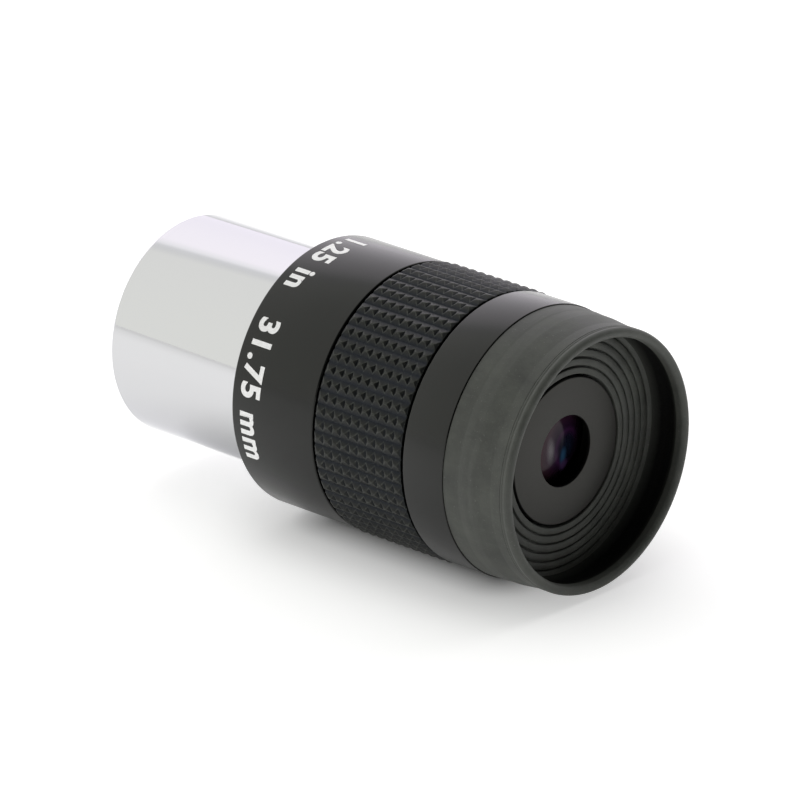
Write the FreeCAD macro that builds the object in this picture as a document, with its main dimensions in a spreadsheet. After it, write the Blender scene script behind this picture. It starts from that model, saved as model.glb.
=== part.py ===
"""Telescope eyepiece for a 31.75 mm (1.25 inch) focuser, as an assembly of its separate pieces.

Frame: +X runs along the optical axis towards the eye, +Z is up and the eyepiece lies on its side.
The origin is on the optical axis, in the plane of the shoulder where the barrel leaves the body, so
the barrel is on the negative side. Every length is in millimetres.

Almost every piece is turned, so each is a body with one profile, drawn in the plane of the optical
axis and revolved about it. A coordinate is written as a sum of names from the sheet of sizes.
"""
import FreeCAD, Part
import math
import os

import Sketcher

ORIGIN_AXIS = -1        # a sketch's horizontal axis, which starts at its origin
UPRIGHT_AXIS = -2       # and its vertical axis
START, END, CENTRE = 1, 2, 3
FULL_TURN = 360

SIZES = {
    # barrel, chromed brass
    "barrel_length": 27.0,
    "barrel_radius": 15.875,
    "barrel_bore_radius": 13.4,
    "barrel_edge_break": 0.35,
    "filter_bore_radius": 14.05,
    "filter_bore_length": 4.0,
    "barrel_neck_radius": 15.6,
    "barrel_spigot_radius": 14.5,
    "barrel_spigot_length": 7.9,
    # the play left in each thread and around each lens
    "thread_gap": 0.05,
    # negative field group, screwed into the barrel
    "cell_back": -19.0,
    "cell_length": 11.0,
    "cell_lip_length": 1.5,
    "cell_lip_radius": 9.0,
    "cell_bore_radius": 10.05,
    "field_lens_radius": 10.0,
    "field_concave_radius": 28.0,
    "field_flint_thickness": 1.6,
    "field_cement_radius": 30.0,
    "field_crown_thickness": 3.7,
    "cell_ring_length": 1.8,
    "cell_ring_bore_radius": 9.1,
    # field stop, a knife-edged ring between the two groups
    "stop_back": -3.4,
    "stop_length": 2.4,
    "stop_land": 0.3,
    "stop_bevel": 1.1,
    "stop_bore_radius": 7.0,
    # body shell
    "body_radius": 19.48,
    "body_band_end": 15.28,
    "body_core_radius": 18.2,
    "body_core_end": 32.1,
    "body_bore_radius": 16.3,
    "body_recess_radius": 15.95,
    "body_recess_depth": 1.0,
    "body_seat": 8.0,
    "body_edge_break": 0.3,
    # rubber grip sleeve: lengthwise ridges, notched into studs
    "grip_back": 15.66,
    "grip_bore_radius": 18.25,
    "notch_floor_radius": 19.42,
    "grip_peak_radius": 19.7,
    "stud_pitch": 1.6,
    "stud_top_length": 0.5,
    "stud_top_width": 0.2,
    "groove_floor_radius": 19.3,
    "groove_reach_radius": 20.0,
    # front ring
    "ring_front": 39.4,
    "ring_radius": 19.5,
    "ring_chamfer": 0.15,
    "ring_thread_radius": 16.2,
    "ring_thread_length": 8.0,
    "ring_bore_radius": 14.0,
    "ring_web": 3.0,
    "ring_eye_bore_radius": 10.65,
    "nose_radius": 15.6,
    "nose_front": 42.6,
    # lens tube with its flange, and the ring that locks it into the body
    "tube_flange_radius": 16.2,
    "tube_flange_length": 2.0,
    "tube_radius": 10.4,
    "tube_front": 43.4,
    "tube_seat": 14.0,
    "tube_aperture_radius": 7.0,
    "tube_bore_radius": 8.05,
    "cap_thread_radius": 9.0,
    "cap_thread_back": 39.8,
    "lock_ring_length": 2.5,
    # eye-side lenses and the spacers between them
    "lens_radius": 8.0,
    "flint_vertex": 15.6,
    "doublet_cement_radius": 16.0,
    "doublet_front": 22.2,
    "doublet_front_radius": 20.0,
    "spacer_bore_radius": 7.3,
    "rear_spacer_back": 20.85,
    "rear_spacer_front": 25.47,
    "middle_back": 24.6,
    "middle_back_radius": 30.0,
    "middle_front": 30.2,
    "middle_front_radius": 25.0,
    "front_spacer_back": 29.15,
    "front_spacer_front": 38.75,
    "eye_back": 38.1,
    "eye_back_radius": 40.0,
    "eye_front": 42.6,
    "eye_front_radius": 18.0,
    # cap round the eye lens
    "cap_back": 40.0,
    "cap_lip_back": 41.07,
    "cap_lip_radius": 7.4,
    "cap_disc_back": 43.5,
    "cap_front": 44.5,
    "cap_radius": 10.5,
    "cap_hole_radius": 5.06,
    "cap_flare": 0.2,
    # rubber eyecup: base with the ribbed face, free skirt, and beaded rim
    "seam_gap": 0.05,
    "eyecup_back_radius": 19.36,
    "crease": 42.2,
    "crease_radius": 19.26,
    "face_front": 44.5,
    "face_edge_radius": 17.2,
    "face_hole_radius": 10.9,
    "rib_first_radius": 11.95,
    "rib_pitch": 1.25,
    "rib_groove_width": 0.34,
    "rib_groove_depth": 0.55,
    "skirt_root_bore_radius": 17.25,
    "skirt_bore_radius": 18.05,
    "skirt_bore_start": 45.3,
    "waist": 47.6,
    "waist_radius": 18.9,
    "rim_back": 49.3,
    "rim_radius": 18.9,
    "rim_bore_radius": 17.48,
    "rim_round_centre": 50.08,
}
STUDS_ALONG = 10
STUDS_AROUND = 62
RIB_GROOVES = 5


doc = FreeCAD.newDocument("Eyepiece")
sheet = doc.addObject("Spreadsheet::Sheet", "Sizes")
for row, (name, size) in enumerate(SIZES.items(), start=1):
    sheet.set(f"A{row}", name)
    sheet.set(f"B{row}", str(size))
    sheet.setAlias(f"B{row}", name)
doc.recompute()


def number(words):
    """The value in millimetres of a sum such as "ring_front - ring_web"."""
    total = 0.0
    sign = 1.0
    for word in words.split():
        if word in "+-":
            sign = -1.0 if word == "-" else 1.0
        else:
            total += sign * (SIZES[word] if word in SIZES else float(word))
    return total


def formula(words):
    """The same sum as an expression that refers to the sheet."""
    return " ".join(f"Sizes.{word}" if word in SIZES else word for word in words.split())


def new_sketch(body, plane="XY_Plane"):
    """An empty sketch on one of the body's own origin planes."""
    sketch = body.newObject("Sketcher::SketchObject", f"{body.Label}_profile")
    planes = {feature.Role: feature for feature in body.Origin.OriginFeatures}
    sketch.AttachmentSupport = [(planes[plane], "")]
    sketch.MapMode = "FlatFace"
    return sketch


def bind(sketch, kind, words, *elements):
    """Add a dimension whose value follows the sheet."""
    index = sketch.addConstraint(Sketcher.Constraint(kind, *elements, number(words)))
    sketch.setExpression(f"Constraints[{index}]", formula(words))


def pin_point(sketch, edge, end, along, radius):
    """Fix a point of the sketch at a station along the axis and at a radius."""
    bind(sketch, "DistanceX", along, ORIGIN_AXIS, START, edge, end)
    bind(sketch, "DistanceY", radius, ORIGIN_AXIS, START, edge, end)


def revolve(body, sketch):
    """Turn a closed profile once round the optical axis."""
    feature = body.newObject("PartDesign::Revolution", f"{body.Label}_turned")
    feature.Profile = sketch
    feature.ReferenceAxis = (sketch, ["H_Axis"])
    feature.Angle = FULL_TURN
    body.Tip = feature
    doc.recompute()
    return feature


def new_body(label):
    body = doc.addObject("PartDesign::Body", label)
    body.Label = label
    return body


def draw_corners(sketch, corners):
    """Draw a closed outline of straight lines through corners given as (station, radius)."""
    points = [FreeCAD.Vector(number(along), number(radius), 0) for along, radius in corners]
    count = len(corners)
    for index in range(count):
        sketch.addGeometry(Part.LineSegment(points[index], points[(index + 1) % count]))
    for index in range(count):
        sketch.addConstraint(Sketcher.Constraint("Coincident", index, END, (index + 1) % count, START))
    for index, (along, radius) in enumerate(corners):
        pin_point(sketch, index, START, along, radius)


def turned(label, corners):
    """A turned piece with a straight-sided profile."""
    body = new_body(label)
    sketch = new_sketch(body)
    draw_corners(sketch, corners)
    revolve(body, sketch)
    return body


def plain_ring(label, back, front, bore, outside):
    """A plain ring between two stations."""
    return turned(label, [(back, bore), (front, bore), (front, outside), (back, outside)])


def lens(label, back, front, edge_radius):
    """A lens. Each face is (vertex station, radius of curvature, side of its centre).

    The centre of curvature is on the +1 or -1 side of the face, and side 0 makes a flat face.
    """
    body = new_body(label)
    sketch = new_sketch(body)
    edge = number(edge_radius)
    rims = []
    for vertex, curve, side in (back, front):
        sag = 0.0
        if side:
            sag = side * (number(curve) - math.sqrt(number(curve) ** 2 - edge ** 2))
        rims.append(number(vertex) + sag)
    vertices = [number(face[0]) for face in (back, front)]
    axis_line = sketch.addGeometry(
        Part.LineSegment(FreeCAD.Vector(vertices[0], 0, 0), FreeCAD.Vector(vertices[1], 0, 0)))
    edge_line = sketch.addGeometry(
        Part.LineSegment(FreeCAD.Vector(rims[0], edge, 0), FreeCAD.Vector(rims[1], edge, 0)))
    for line, radius in ((axis_line, None), (edge_line, edge_radius)):
        sketch.addConstraint(Sketcher.Constraint("Horizontal", line))
        if radius:
            bind(sketch, "DistanceY", radius, ORIGIN_AXIS, START, line, START)
    sketch.addConstraint(Sketcher.Constraint("PointOnObject", axis_line, START, ORIGIN_AXIS))
    for line_end, face, vertex_at, rim_at in ((START, back, vertices[0], rims[0]),
                                              (END, front, vertices[1], rims[1])):
        vertex, curve, side = face
        bind(sketch, "DistanceX", vertex, ORIGIN_AXIS, START, axis_line, line_end)
        if side:
            centre_at = vertex_at + side * number(curve)
            tilt = math.asin(edge / number(curve))
            angles = (math.pi - tilt, math.pi) if side > 0 else (0.0, tilt)
            rim_end, vertex_end = (START, END) if side > 0 else (END, START)
            circle = Part.Circle(FreeCAD.Vector(centre_at, 0, 0), FreeCAD.Vector(0, 0, 1), number(curve))
            face_line = sketch.addGeometry(Part.ArcOfCircle(circle, *angles))
            bind(sketch, "Radius", curve, face_line)
            sketch.addConstraint(
                Sketcher.Constraint("PointOnObject", face_line, CENTRE, ORIGIN_AXIS))
        else:
            rim_end, vertex_end = END, START
            face_line = sketch.addGeometry(
                Part.LineSegment(FreeCAD.Vector(vertex_at, 0, 0), FreeCAD.Vector(rim_at, edge, 0)))
            sketch.addConstraint(Sketcher.Constraint("Vertical", face_line))
        sketch.addConstraint(
            Sketcher.Constraint("Coincident", face_line, vertex_end, axis_line, line_end))
        sketch.addConstraint(
            Sketcher.Constraint("Coincident", face_line, rim_end, edge_line, line_end))
    revolve(body, sketch)
    return body


# ---- barrel and the negative field group inside it ------------------------------------------

turned("barrel", [
    ("- barrel_length", "filter_bore_radius"),
    ("- barrel_length + filter_bore_length", "filter_bore_radius"),
    ("- barrel_length + filter_bore_length", "barrel_bore_radius"),
    ("barrel_spigot_length", "barrel_bore_radius"),
    ("barrel_spigot_length", "barrel_spigot_radius"),
    ("body_recess_depth", "barrel_spigot_radius"),
    ("body_recess_depth", "barrel_neck_radius"),
    ("0", "barrel_neck_radius"),
    ("0", "barrel_radius"),
    ("- barrel_length + barrel_edge_break", "barrel_radius"),
    ("- barrel_length", "barrel_radius - barrel_edge_break"),
])

turned("field_cell", [
    ("cell_back", "cell_lip_radius"),
    ("cell_back + cell_lip_length", "cell_lip_radius"),
    ("cell_back + cell_lip_length", "cell_bore_radius"),
    ("cell_back + cell_length", "cell_bore_radius"),
    ("cell_back + cell_length", "barrel_bore_radius - thread_gap"),
    ("cell_back", "barrel_bore_radius - thread_gap"),
])


def field_lenses():
    """The cemented pair of the field group: a hollow-backed flint, with a crown nested in it."""
    edge = SIZES["field_lens_radius"]
    hollow = SIZES["field_concave_radius"]
    back_sag = hollow - math.sqrt(hollow ** 2 - edge ** 2)
    seat = "cell_back + cell_lip_length"
    back = f"{seat} + {back_sag:.6f}"
    cement = f"{back} + field_flint_thickness"
    front = f"{cement} + field_crown_thickness"
    lens("field_lens_flint", (back, "field_concave_radius", -1),
         (cement, "field_cement_radius", 1), "field_lens_radius")
    lens("field_lens_crown", (cement, "field_cement_radius", 1), (front, None, 0), "field_lens_radius")
    plain_ring("field_cell_ring", front, f"{front} + cell_ring_length",
               "cell_ring_bore_radius", "field_lens_radius")


field_lenses()

turned("field_stop", [
    ("stop_back", "stop_bore_radius + stop_bevel + stop_bevel"),
    ("stop_back + stop_bevel", "stop_bore_radius"),
    ("stop_back + stop_bevel + stop_land", "stop_bore_radius"),
    ("stop_back + stop_length", "stop_bore_radius + stop_bevel"),
    ("stop_back + stop_length", "barrel_bore_radius - thread_gap"),
    ("stop_back", "barrel_bore_radius - thread_gap"),
])

# ---- body, grip and front ring ---------------------------------------------------------------

turned("body_shell", [
    ("0", "body_recess_radius"),
    ("body_recess_depth", "body_recess_radius"),
    ("body_recess_depth", "barrel_spigot_radius + thread_gap"),
    ("body_seat", "barrel_spigot_radius + thread_gap"),
    ("body_seat", "body_bore_radius"),
    ("body_core_end", "body_bore_radius"),
    ("body_core_end", "body_core_radius"),
    ("body_band_end", "body_core_radius"),
    ("body_band_end", "body_radius - body_edge_break"),
    ("body_band_end - body_edge_break", "body_radius"),
    ("body_edge_break", "body_radius"),
    ("0", "body_radius - body_edge_break"),
])


def grip_sleeve():
    """The sleeve that stretches over the body's core, covered with studs like small hipped roofs.

    Lengthwise V grooves leave ridges along the sleeve, and shallower turned notches cross them.
    """
    body = new_body("grip_sleeve")
    sketch = new_sketch(body)
    corners = [("grip_back", "grip_bore_radius"), ("grip_back", "notch_floor_radius")]
    pitch, length = SIZES["stud_pitch"], SIZES["stud_top_length"]
    for index in range(STUDS_ALONG):
        middle = pitch * (index + 0.5)
        corners.append((f"grip_back + {middle - length / 2:.3f}", "grip_peak_radius"))
        corners.append((f"grip_back + {middle + length / 2:.3f}", "grip_peak_radius"))
        corners.append((f"grip_back + {pitch * (index + 1):.3f}", "notch_floor_radius"))
    corners.append((f"grip_back + {pitch * STUDS_ALONG:.3f}", "grip_bore_radius"))
    draw_corners(sketch, corners)
    turned_sleeve = revolve(body, sketch)

    # The lengthwise groove: at the peak radius it leaves half a stud top on each side.
    across = new_sketch(body, "YZ_Plane")
    floor, peak, reach = (SIZES[name] for name in
                          ("groove_floor_radius", "grip_peak_radius", "groove_reach_radius"))
    width = SIZES["stud_top_width"]
    half_width = (peak * math.tan(math.pi / STUDS_AROUND) - width / 2) * (reach - floor) / (peak - floor)
    width_formula = (f"(Sizes.grip_peak_radius * tan(180deg / {STUDS_AROUND}) - Sizes.stud_top_width / 2)"
                     " * (Sizes.groove_reach_radius - Sizes.groove_floor_radius)"
                     " / (Sizes.grip_peak_radius - Sizes.groove_floor_radius)")
    points = [FreeCAD.Vector(0, floor, 0), FreeCAD.Vector(half_width, reach, 0),
              FreeCAD.Vector(-half_width, reach, 0)]
    for index in range(3):
        across.addGeometry(Part.LineSegment(points[index], points[(index + 1) % 3]))
    for index in range(3):
        across.addConstraint(Sketcher.Constraint("Coincident", index, END, (index + 1) % 3, START))
    across.addConstraint(Sketcher.Constraint("PointOnObject", 0, START, UPRIGHT_AXIS))
    bind(across, "DistanceY", "groove_floor_radius", ORIGIN_AXIS, START, 0, START)
    for line in (1, 2):
        bind(across, "DistanceY", "groove_reach_radius", ORIGIN_AXIS, START, line, START)
    for first, second in (((ORIGIN_AXIS, START), (1, START)), ((2, START), (ORIGIN_AXIS, START))):
        index = across.addConstraint(Sketcher.Constraint("DistanceX", *first, *second, half_width))
        across.setExpression(f"Constraints[{index}]", width_formula)
    groove = body.newObject("PartDesign::Pocket", "grip_groove")
    groove.Profile = across
    groove.Type = "ThroughAll"
    groove.Midplane = True
    body.Tip = groove
    doc.recompute()
    pattern = body.newObject("PartDesign::PolarPattern", "grip_grooves")
    pattern.Originals = [groove]
    axes = {feature.Role: feature for feature in body.Origin.OriginFeatures}
    pattern.Axis = (axes["X_Axis"], [""])
    pattern.Angle = FULL_TURN
    pattern.Occurrences = STUDS_AROUND
    body.Tip = pattern
    doc.recompute()
    if not pattern.Shape.Volume < groove.Shape.Volume < turned_sleeve.Shape.Volume:
        raise RuntimeError("a lengthwise groove of the grip cut nothing")


grip_sleeve()

turned("front_ring", [
    ("body_core_end - ring_thread_length", "ring_bore_radius"),
    ("ring_front - ring_web", "ring_bore_radius"),
    ("ring_front - ring_web", "ring_eye_bore_radius"),
    ("nose_front", "ring_eye_bore_radius"),
    ("nose_front", "nose_radius"),
    ("ring_front", "nose_radius"),
    ("ring_front", "ring_radius - ring_chamfer"),
    ("ring_front - ring_chamfer", "ring_radius"),
    ("body_core_end + body_edge_break", "ring_radius"),
    ("body_core_end", "ring_radius - body_edge_break"),
    ("body_core_end", "ring_thread_radius"),
    ("body_core_end - ring_thread_length", "ring_thread_radius"),
])

# ---- lens tube and what it holds ---------------------------------------------------------------

turned("lens_tube", [
    ("body_seat", "tube_aperture_radius"),
    ("tube_seat", "tube_aperture_radius"),
    ("tube_seat", "tube_bore_radius"),
    ("cap_thread_back", "tube_bore_radius"),
    ("cap_thread_back", "cap_thread_radius"),
    ("tube_front", "cap_thread_radius"),
    ("tube_front", "tube_radius"),
    ("body_seat + tube_flange_length", "tube_radius"),
    ("body_seat + tube_flange_length", "tube_flange_radius"),
    ("body_seat", "tube_flange_radius"),
])
plain_ring("tube_lock_ring", "body_seat + tube_flange_length",
           "body_seat + tube_flange_length + lock_ring_length",
           "tube_radius + thread_gap", "body_bore_radius - thread_gap")

lens("doublet_flint", ("tube_seat", None, 0), ("flint_vertex", "doublet_cement_radius", 1), "lens_radius")
lens("doublet_crown", ("flint_vertex", "doublet_cement_radius", 1),
     ("doublet_front", "doublet_front_radius", -1), "lens_radius")
plain_ring("rear_spacer", "rear_spacer_back", "rear_spacer_front", "spacer_bore_radius", "lens_radius")
lens("middle_lens", ("middle_back", "middle_back_radius", 1),
     ("middle_front", "middle_front_radius", -1), "lens_radius")
plain_ring("front_spacer", "front_spacer_back", "front_spacer_front", "spacer_bore_radius", "lens_radius")
lens("eye_lens", ("eye_back", "eye_back_radius", 1), ("eye_front", "eye_front_radius", -1), "lens_radius")

turned("eye_cap", [
    ("cap_back", "tube_bore_radius"),
    ("cap_lip_back", "tube_bore_radius"),
    ("cap_lip_back", "cap_lip_radius"),
    ("cap_disc_back", "cap_lip_radius"),
    ("cap_disc_back", "cap_hole_radius"),
    ("cap_front - cap_flare", "cap_hole_radius"),
    ("cap_front", "cap_hole_radius + cap_flare"),
    ("cap_front", "cap_radius - cap_flare"),
    ("cap_front - cap_flare", "cap_radius"),
    ("cap_disc_back", "cap_radius"),
    ("cap_disc_back", "cap_thread_radius - thread_gap"),
    ("cap_back", "cap_thread_radius - thread_gap"),
])

# ---- rubber eyecup -----------------------------------------------------------------------------

def eyecup_base():
    """The sleeve stretched over the front ring's nose, and its face with concentric grooves."""
    corners = [
        ("ring_front + seam_gap", "nose_radius + seam_gap"),
        ("nose_front + seam_gap", "nose_radius + seam_gap"),
        ("nose_front + seam_gap", "face_hole_radius"),
        ("face_front", "face_hole_radius"),
    ]
    for index in range(RIB_GROOVES):
        middle = f"rib_first_radius + {SIZES['rib_pitch'] * index:.3f}"
        half = f"{SIZES['rib_groove_width'] / 2:.3f}"
        corners += [
            ("face_front", f"{middle} - {half}"),
            ("face_front - rib_groove_depth", f"{middle} - {half}"),
            ("face_front - rib_groove_depth", f"{middle} + {half}"),
            ("face_front", f"{middle} + {half}"),
        ]
    corners += [
        ("face_front", "face_edge_radius"),
        ("crease", "face_edge_radius"),
        ("crease", "crease_radius"),
        ("ring_front + seam_gap", "eyecup_back_radius"),
    ]
    turned("eyecup_base", corners)


eyecup_base()

turned("eyecup_skirt", [
    ("crease", "skirt_root_bore_radius"),
    ("face_front", "skirt_root_bore_radius"),
    ("skirt_bore_start", "skirt_bore_radius"),
    ("waist", "skirt_bore_radius"),
    ("rim_back", "rim_bore_radius"),
    ("rim_back", "rim_radius"),
    ("waist", "waist_radius"),
    ("crease", "crease_radius"),
])


def eyecup_rim():
    """The bead round the cup's mouth: flat where it joins the skirt, a half round in front."""
    body = new_body("eyecup_rim")
    sketch = new_sketch(body)
    back, centre = number("rim_back"), number("rim_round_centre")
    bore, outside = number("rim_bore_radius"), number("rim_radius")
    middle, thickness = (bore + outside) / 2, outside - bore
    inner = sketch.addGeometry(
        Part.LineSegment(FreeCAD.Vector(back, bore, 0), FreeCAD.Vector(centre, bore, 0)))
    circle = Part.Circle(FreeCAD.Vector(centre, middle, 0), FreeCAD.Vector(0, 0, 1), thickness / 2)
    nose = sketch.addGeometry(Part.ArcOfCircle(circle, -math.pi / 2, math.pi / 2))
    outer = sketch.addGeometry(
        Part.LineSegment(FreeCAD.Vector(centre, outside, 0), FreeCAD.Vector(back, outside, 0)))
    joint = sketch.addGeometry(
        Part.LineSegment(FreeCAD.Vector(back, outside, 0), FreeCAD.Vector(back, bore, 0)))
    sketch.addConstraint(Sketcher.Constraint("Tangent", inner, END, nose, START))
    sketch.addConstraint(Sketcher.Constraint("Tangent", nose, END, outer, START))
    sketch.addConstraint(Sketcher.Constraint("Coincident", outer, END, joint, START))
    sketch.addConstraint(Sketcher.Constraint("Coincident", joint, END, inner, START))
    for line in (inner, outer):
        sketch.addConstraint(Sketcher.Constraint("Horizontal", line))
    sketch.addConstraint(Sketcher.Constraint("Vertical", joint))
    pin_point(sketch, inner, START, "rim_back", "rim_bore_radius")
    bind(sketch, "DistanceY", "rim_radius", ORIGIN_AXIS, START, outer, END)
    bind(sketch, "DistanceX", "rim_round_centre", ORIGIN_AXIS, START, nose, CENTRE)
    revolve(body, sketch)


eyecup_rim()

# ---- checks and files ---------------------------------------------------------------------------

doc.recompute()
for thing in doc.Objects:
    if {"Invalid", "Error"} & set(thing.State):
        raise RuntimeError(f"{thing.Label} did not compute: {thing.State}")
    if thing.TypeId == "Sketcher::SketchObject" and not thing.FullyConstrained:
        raise RuntimeError(f"{thing.Label} has free dimensions")

os.makedirs("parts", exist_ok=True)
for body in doc.findObjects("PartDesign::Body"):
    shape = body.Shape
    if shape.isNull() or not shape.isValid() or len(shape.Solids) != 1:
        raise RuntimeError(f"{body.Label} is not one valid solid")
    shape.exportStep(os.path.join("parts", f"{body.Label}.step"))
    box = shape.BoundBox
    print(f"{body.Label:18s} {shape.Volume:9.1f} mm3  x {box.XMin:7.2f} to {box.XMax:6.2f}  r {box.ZMax:6.3f}")
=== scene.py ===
"""The telescope eyepiece's looks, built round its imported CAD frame.

The optical axis is X, with the eye at +X and the chromed barrel at -X, and the eyepiece lies on its
side on the floor. Outlines are drawn in millimetres as (station along the axis, radius), the third
number of a corner being the radius that rounds it, and are turned round the axis.
"""

import math

import bmesh
import bpy
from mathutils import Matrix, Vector

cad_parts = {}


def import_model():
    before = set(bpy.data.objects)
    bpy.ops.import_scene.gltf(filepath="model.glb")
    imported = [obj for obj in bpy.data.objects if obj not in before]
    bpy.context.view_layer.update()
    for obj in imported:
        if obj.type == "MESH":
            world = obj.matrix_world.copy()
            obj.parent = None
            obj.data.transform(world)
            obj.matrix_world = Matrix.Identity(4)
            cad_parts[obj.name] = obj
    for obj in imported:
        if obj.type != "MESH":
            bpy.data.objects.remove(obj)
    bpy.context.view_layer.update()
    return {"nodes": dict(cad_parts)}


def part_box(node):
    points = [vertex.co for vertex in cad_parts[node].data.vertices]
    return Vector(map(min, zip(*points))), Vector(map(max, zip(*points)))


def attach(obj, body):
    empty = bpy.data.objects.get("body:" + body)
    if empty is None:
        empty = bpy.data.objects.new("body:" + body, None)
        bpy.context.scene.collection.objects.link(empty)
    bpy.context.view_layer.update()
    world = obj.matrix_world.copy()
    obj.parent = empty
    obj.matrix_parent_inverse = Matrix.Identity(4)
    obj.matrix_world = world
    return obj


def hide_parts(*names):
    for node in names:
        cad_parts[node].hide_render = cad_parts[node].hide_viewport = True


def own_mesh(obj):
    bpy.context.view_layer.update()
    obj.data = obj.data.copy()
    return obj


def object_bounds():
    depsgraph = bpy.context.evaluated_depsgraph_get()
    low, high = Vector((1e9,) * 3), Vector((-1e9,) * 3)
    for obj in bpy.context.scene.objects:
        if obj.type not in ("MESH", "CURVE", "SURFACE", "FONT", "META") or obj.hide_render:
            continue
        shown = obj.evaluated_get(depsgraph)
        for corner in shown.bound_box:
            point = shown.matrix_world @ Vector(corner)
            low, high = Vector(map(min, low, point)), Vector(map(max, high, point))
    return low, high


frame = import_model()

MM = 0.001
TURNS = 240                 # facets round a turned piece
WELD = 1e-7                 # points closer than this, in metres, become one
SHARP = math.radians(32)    # edges that turn more than this stay sharp
HOUSING, CUP_RIM = "housing", "cup_rim"


def span(node):
    """A node's back station, front station and outside radius, in millimetres."""
    low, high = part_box(node)
    return low.x / MM, high.x / MM, max(high.y, high.z) / MM


# ---- outlines and meshes -------------------------------------------------------------------------

def rounded(corners, steps=5):
    """The outline through the corners, each one with a third number rounded to that radius."""
    outline = []
    for index, corner in enumerate(corners):
        here = Vector(corner[:2])
        if len(corner) < 3:
            outline.append(here)
            continue
        back = (Vector(corners[index - 1][:2]) - here).normalized()
        onward = (Vector(corners[(index + 1) % len(corners)][:2]) - here).normalized()
        half = back.angle(onward) / 2
        centre = here + (back + onward).normalized() * (corner[2] / math.sin(half))
        first = here + back * (corner[2] / math.tan(half)) - centre
        last = here + onward * (corner[2] / math.tan(half)) - centre
        turn = math.atan2(first.x * last.y - first.y * last.x, first.dot(last))
        for step in range(steps + 1):
            angle = turn * step / steps
            outline.append(centre + Vector((first.x * math.cos(angle) - first.y * math.sin(angle),
                                            first.x * math.sin(angle) + first.y * math.cos(angle))))
    return outline


def finish_mesh(name, mesh_data, body, material_slot, *materials):
    """Make the object from a bmesh, smooth it between sharp edges, and put it on its body."""
    bmesh.ops.remove_doubles(mesh_data, verts=mesh_data.verts, dist=WELD)
    bmesh.ops.recalc_face_normals(mesh_data, faces=mesh_data.faces)
    mesh = bpy.data.meshes.new(name)
    mesh_data.to_mesh(mesh)
    mesh_data.free()
    mesh.shade_smooth()
    mesh.set_sharp_from_angle(angle=SHARP)
    for material in materials:
        mesh.materials.append(material)
    piece = bpy.data.objects.new(name, mesh)
    bpy.context.scene.collection.objects.link(piece)
    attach(piece, body)
    return piece


def turned_mesh(outline):
    """A closed outline turned round the optical axis, as a bmesh in metres."""
    made = bmesh.new()
    rings = []
    for along, radius in outline:
        if radius < 1e-6:       # a point on the axis is shared by every facet
            rings.append([made.verts.new((along * MM, 0, 0))])
            continue
        ring = []
        for turn in range(TURNS):
            angle = 2 * math.pi * turn / TURNS
            ring.append(made.verts.new((along * MM, -radius * MM * math.cos(angle),
                                        radius * MM * math.sin(angle))))
        rings.append(ring)
    for index, ring in enumerate(rings):
        after = rings[(index + 1) % len(rings)]
        if len(ring) == 1 and len(after) == 1:
            continue
        for turn in range(TURNS):
            onward = (turn + 1) % TURNS
            corners = []
            for loop, place in ((ring, turn), (ring, onward), (after, onward), (after, turn)):
                vertex = loop[place if len(loop) > 1 else 0]
                if vertex not in corners:
                    corners.append(vertex)
            made.faces.new(corners)
    return made


def turned(name, corners, body, material_slot, *materials, paint=None, steps=5):
    """A turned piece. Paint picks the material's index from a face's station and radius in mm."""
    made = turned_mesh(rounded(corners, steps))
    if paint:
        for face in made.faces:
            middle = face.calc_center_median() / MM
            face.material_index = paint(middle.x, math.hypot(middle.y, middle.z))
    return finish_mesh(name, made, body, material_slot, *materials)


def sphere_arc(vertex, curve, side, edge, steps=14):
    """Points of a lens face, from the axis out to its edge. Side +1 puts its centre towards +X."""
    widest = math.asin(edge / curve)
    points = []
    for step in range(steps + 1):
        angle = widest * step / steps
        points.append(Vector((vertex + side * curve * (1 - math.cos(angle)), curve * math.sin(angle))))
    return points


def lens(name, back, front, edge, material_slot, material):
    """A lens between two faces, each (vertex, radius of curvature, side), or a flat (station,)."""
    faces = []
    for face in (back, front):
        flat = [Vector((face[0], 0)), Vector((face[0], edge))]
        faces.append(sphere_arc(*face, edge) if len(face) > 1 else flat)
    outline = faces[0] + faces[1][::-1]
    return finish_mesh(name, turned_mesh(outline), HOUSING, material_slot, material)


# ---- materials -----------------------------------------------------------------------------------

def grey(level):
    return (level, level, level)


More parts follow.
